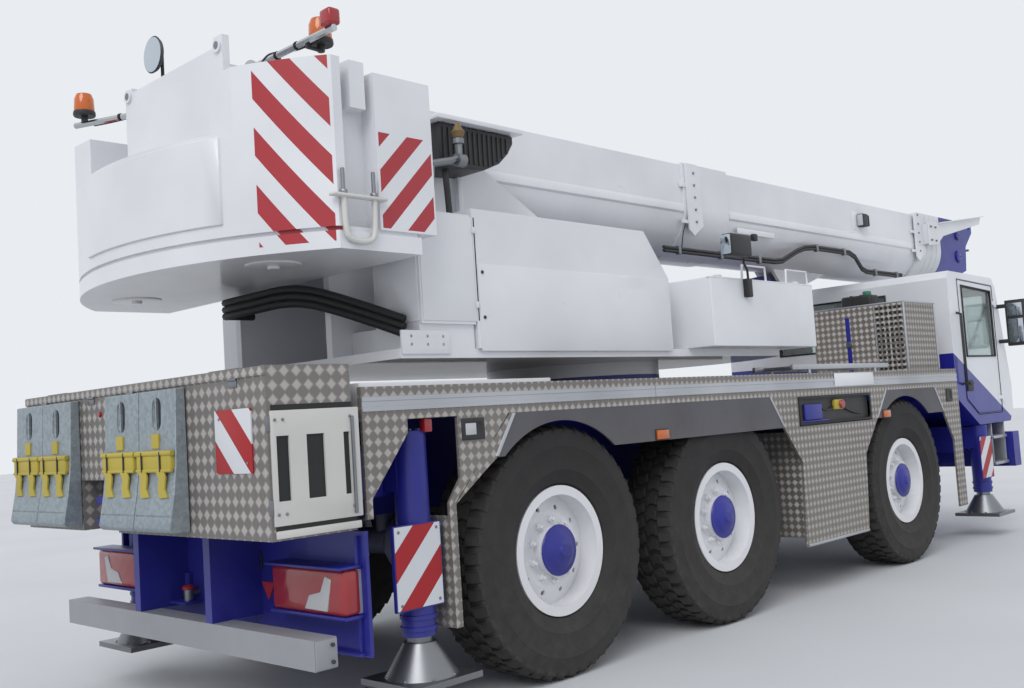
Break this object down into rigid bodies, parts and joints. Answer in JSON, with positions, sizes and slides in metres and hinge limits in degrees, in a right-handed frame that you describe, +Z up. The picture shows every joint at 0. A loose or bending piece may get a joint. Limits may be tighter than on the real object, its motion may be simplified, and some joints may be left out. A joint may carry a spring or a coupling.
{
  "type": "all-terrain mobile crane",
  "caption": "All-terrain mobile crane with a slewing superstructure, a telescopic boom laid forward, outriggers, steered wheels and hollow cabs.",
  "frame": {"origin": "on the ground under the middle of the whole crane's outline, boom laid forward", "axes": "+X towards the driver's cab and boom head, +Y to the crane's left, +Z up"},
  "size_m": [10.87, 3, 3.965],
  "materials": {
    "white_paint": "gloss white paint",
    "blue_paint": "gloss blue paint",
    "skirt_grey": "moulded dark grey plastic",
    "chequer_plate": "five-bar chequer plate",
    "deck_silver": "brushed rail and deck sheet",
    "bar_grey": "silver-grey paint",
    "galvanised": "hot-dip galvanised",
    "lamp_red": "moulded lamp lens",
    "engine_grey": "cast iron",
    "cab_trim": "grained trim",
    "seat_cloth": "woven seat cloth",
    "clear_glass": "tinted safety glass",
    "axle_paint": "chassis paint",
    "tyre_rubber": "worn tread rubber",
    "rim_white": "white wheel paint",
    "chrome_rod": "hard chrome",
    "drum_steel": "machined steel"
  },
  "bodies": {
    "carrier": {"chassis": "blue_paint", "deck": "deck_silver", "arch_skirts": "skirt_grey", "side_panels": "chequer_plate", "outrigger_boxes": "blue_paint", "rear_locker": "chequer_plate", "rear_bar": "bar_grey", "wheel_chocks": "galvanised", "engine": "engine_grey", "engine_cover": "white_paint", "cab_shell": "white_paint", "cab_interior": "cab_trim", "cab_glass": "clear_glass", "axles": "axle_paint"},
    "locker_lid": {"locker_lid": "chequer_plate"},
    "cab_door_left": {"cab_door_left": "white_paint", "door_glass_left": "clear_glass"},
    "cab_door_right": {"cab_door_right": "white_paint", "door_glass_right": "clear_glass"},
    "knuckle_front_left": {"knuckle_front_left": "axle_paint"},
    "knuckle_front_right": {"knuckle_front_right": "axle_paint"},
    "knuckle_rear_left": {"knuckle_rear_left": "axle_paint"},
    "knuckle_rear_right": {"knuckle_rear_right": "axle_paint"},
    "wheel_front_left": {"tyre_front_left": "tyre_rubber", "rim_front_left": "rim_white"},
    "wheel_front_right": {"tyre_front_right": "tyre_rubber", "rim_front_right": "rim_white"},
    "wheel_middle_left": {"tyre_middle_left": "tyre_rubber", "rim_middle_left": "rim_white"},
    "wheel_middle_right": {"tyre_middle_right": "tyre_rubber", "rim_middle_right": "rim_white"},
    "wheel_rear_left": {"tyre_rear_left": "tyre_rubber", "rim_rear_left": "rim_white"},
    "wheel_rear_right": {"tyre_rear_right": "tyre_rubber", "rim_rear_right": "rim_white"},
    "outrigger_beam_rear_right": {"outrigger_beam_rear_right": "blue_paint"},
    "outrigger_jack_rear_right": {"outrigger_jack_rear_right": "bar_grey"},
    "outrigger_beam_rear_left": {"outrigger_beam_rear_left": "blue_paint"},
    "outrigger_jack_rear_left": {"outrigger_jack_rear_left": "bar_grey"},
    "outrigger_beam_front_right": {"outrigger_beam_front_right": "blue_paint"},
    "outrigger_jack_front_right": {"outrigger_jack_front_right": "bar_grey"},
    "outrigger_beam_front_left": {"outrigger_beam_front_left": "blue_paint"},
    "outrigger_jack_front_left": {"outrigger_jack_front_left": "bar_grey"},
    "superstructure": {"turntable": "white_paint", "counterweight": "white_paint", "op_cab": "white_paint", "op_cab_glass": "clear_glass", "op_cab_interior": "seat_cloth", "power_housing": "white_paint", "toolbox": "white_paint", "beacon_rails": "chrome_rod"},
    "op_cab_door": {"op_cab_door": "white_paint"},
    "winch_drum": {"winch_drum": "drum_steel"},
    "boom": {"boom_base": "white_paint"},
    "boom_section_1": {"boom_section_1": "white_paint"},
    "boom_section_2": {"boom_section_2": "white_paint"},
    "boom_section_3": {"boom_section_3": "white_paint", "boom_head": "blue_paint"},
    "lift_barrel": {"lift_barrel": "blue_paint"},
    "lift_rod": {"lift_rod": "chrome_rod"}
  },
  "joints": [
    {"name": "locker_lid_hinge", "type": "hinge", "parent": "carrier", "child": "locker_lid", "pos_m": [-4.875, 0, 1.738], "axis": [0, 1, 0], "range_deg": [0, 80]},
    {"name": "cab_door_left_hinge", "type": "hinge", "parent": "carrier", "child": "cab_door_left", "pos_m": [3.395, 1.236, 1.7], "axis": [0, 0, -1], "range_deg": [0, 70]},
    {"name": "cab_door_right_hinge", "type": "hinge", "parent": "carrier", "child": "cab_door_right", "pos_m": [3.395, -1.236, 1.7], "axis": [0, 0, 1], "range_deg": [0, 70]},
    {"name": "steer_front_left", "type": "hinge", "parent": "carrier", "child": "knuckle_front_left", "pos_m": [0.995, 0.9, 0.695], "axis": [0, 0, 1], "range_deg": [-27, 27]},
    {"name": "steer_front_right", "type": "hinge", "parent": "carrier", "child": "knuckle_front_right", "pos_m": [0.995, -0.9, 0.695], "axis": [0, 0, 1], "range_deg": [-27, 27]},
    {"name": "steer_rear_left", "type": "hinge", "parent": "carrier", "child": "knuckle_rear_left", "pos_m": [-3.435, 0.9, 0.695], "axis": [0, 0, 1], "range_deg": [-16, 16]},
    {"name": "steer_rear_right", "type": "hinge", "parent": "carrier", "child": "knuckle_rear_right", "pos_m": [-3.435, -0.9, 0.695], "axis": [0, 0, 1], "range_deg": [-16, 16]},
    {"name": "wheel_front_left_roll", "type": "hinge", "parent": "knuckle_front_left", "child": "wheel_front_left", "pos_m": [0.995, 1.063, 0.695], "axis": [0, 1, 0], "continuous": true},
    {"name": "wheel_front_right_roll", "type": "hinge", "parent": "knuckle_front_right", "child": "wheel_front_right", "pos_m": [0.995, -1.063, 0.695], "axis": [0, 1, 0], "continuous": true},
    {"name": "wheel_middle_left_roll", "type": "hinge", "parent": "carrier", "child": "wheel_middle_left", "pos_m": [-1.785, 1.063, 0.695], "axis": [0, 1, 0], "continuous": true},
    {"name": "wheel_middle_right_roll", "type": "hinge", "parent": "carrier", "child": "wheel_middle_right", "pos_m": [-1.785, -1.063, 0.695], "axis": [0, 1, 0], "continuous": true},
    {"name": "wheel_rear_left_roll", "type": "hinge", "parent": "knuckle_rear_left", "child": "wheel_rear_left", "pos_m": [-3.435, 1.063, 0.695], "axis": [0, 1, 0], "continuous": true},
    {"name": "wheel_rear_right_roll", "type": "hinge", "parent": "knuckle_rear_right", "child": "wheel_rear_right", "pos_m": [-3.435, -1.063, 0.695], "axis": [0, 1, 0], "continuous": true},
    {"name": "outrigger_beam_rear_right_slide", "type": "slide", "parent": "carrier", "child": "outrigger_beam_rear_right", "axis": [0, -1, 0], "range_m": [0, 1.8]},
    {"name": "outrigger_jack_rear_right_slide", "type": "slide", "parent": "outrigger_beam_rear_right", "child": "outrigger_jack_rear_right", "axis": [0, 0, -1], "range_m": [0, 0.5]},
    {"name": "outrigger_beam_rear_left_slide", "type": "slide", "parent": "carrier", "child": "outrigger_beam_rear_left", "axis": [0, 1, 0], "range_m": [0, 1.8]},
    {"name": "outrigger_jack_rear_left_slide", "type": "slide", "parent": "outrigger_beam_rear_left", "child": "outrigger_jack_rear_left", "axis": [0, 0, -1], "range_m": [0, 0.5]},
    {"name": "outrigger_beam_front_right_slide", "type": "slide", "parent": "carrier", "child": "outrigger_beam_front_right", "axis": [0, -1, 0], "range_m": [0, 1.8]},
    {"name": "outrigger_jack_front_right_slide", "type": "slide", "parent": "outrigger_beam_front_right", "child": "outrigger_jack_front_right", "axis": [0, 0, -1], "range_m": [0, 0.5]},
    {"name": "outrigger_beam_front_left_slide", "type": "slide", "parent": "carrier", "child": "outrigger_beam_front_left", "axis": [0, 1, 0], "range_m": [0, 1.8]},
    {"name": "outrigger_jack_front_left_slide", "type": "slide", "parent": "outrigger_beam_front_left", "child": "outrigger_jack_front_left", "axis": [0, 0, -1], "range_m": [0, 0.5]},
    {"name": "slew", "type": "hinge", "parent": "carrier", "child": "superstructure", "pos_m": [-1.835, 0, 1.78], "axis": [0, 0, 1], "continuous": true},
    {"name": "op_cab_door_slide", "type": "slide", "parent": "superstructure", "child": "op_cab_door", "axis": [-1, 0, 0], "range_m": [0, 0.72]},
    {"name": "winch_turn", "type": "hinge", "parent": "superstructure", "child": "winch_drum", "pos_m": [-4.705, 0, 3.16], "axis": [0, 1, 0], "continuous": true},
    {"name": "boom_luff", "type": "hinge", "parent": "superstructure", "child": "boom", "pos_m": [-3.985, 0, 3.05], "axis": [0, -1, 0], "range_deg": [0, 82]},
    {"name": "telescope_1", "type": "slide", "parent": "boom", "child": "boom_section_1", "axis": [1, 0, 0], "range_m": [0, 6.7]},
    {"name": "telescope_2", "type": "slide", "parent": "boom_section_1", "child": "boom_section_2", "axis": [1, 0, 0], "range_m": [0, 6.7]},
    {"name": "telescope_3", "type": "slide", "parent": "boom_section_2", "child": "boom_section_3", "axis": [1, 0, 0], "range_m": [0, 6.7]},
    {"name": "lift_barrel_tilt", "type": "hinge", "parent": "superstructure", "child": "lift_barrel", "pos_m": [-2.235, 0, 1.95], "axis": [0, -1, 0], "range_deg": [0, 85.13]},
    {"name": "lift_rod_slide", "type": "slide", "parent": "lift_barrel", "child": "lift_rod", "axis": [0.986, 0, 0.1667], "range_m": [0, 2.7]}
  ],
  "couplings": [
    {"joint": "steer_front_right", "follows": "steer_front_left", "ratio": 1},
    {"joint": "steer_rear_left", "follows": "steer_front_left", "ratio": -0.59},
    {"joint": "steer_rear_right", "follows": "steer_front_left", "ratio": -0.59},
    {"joint": "telescope_2", "follows": "telescope_1", "ratio": 1},
    {"joint": "telescope_3", "follows": "telescope_1", "ratio": 1},
    {"joint": "lift_barrel_tilt", "follows": "boom_luff", "ratio": 1.038},
    {"joint": "lift_rod_slide", "follows": "boom_luff", "m_per_rad": 1.8864}
  ]
}
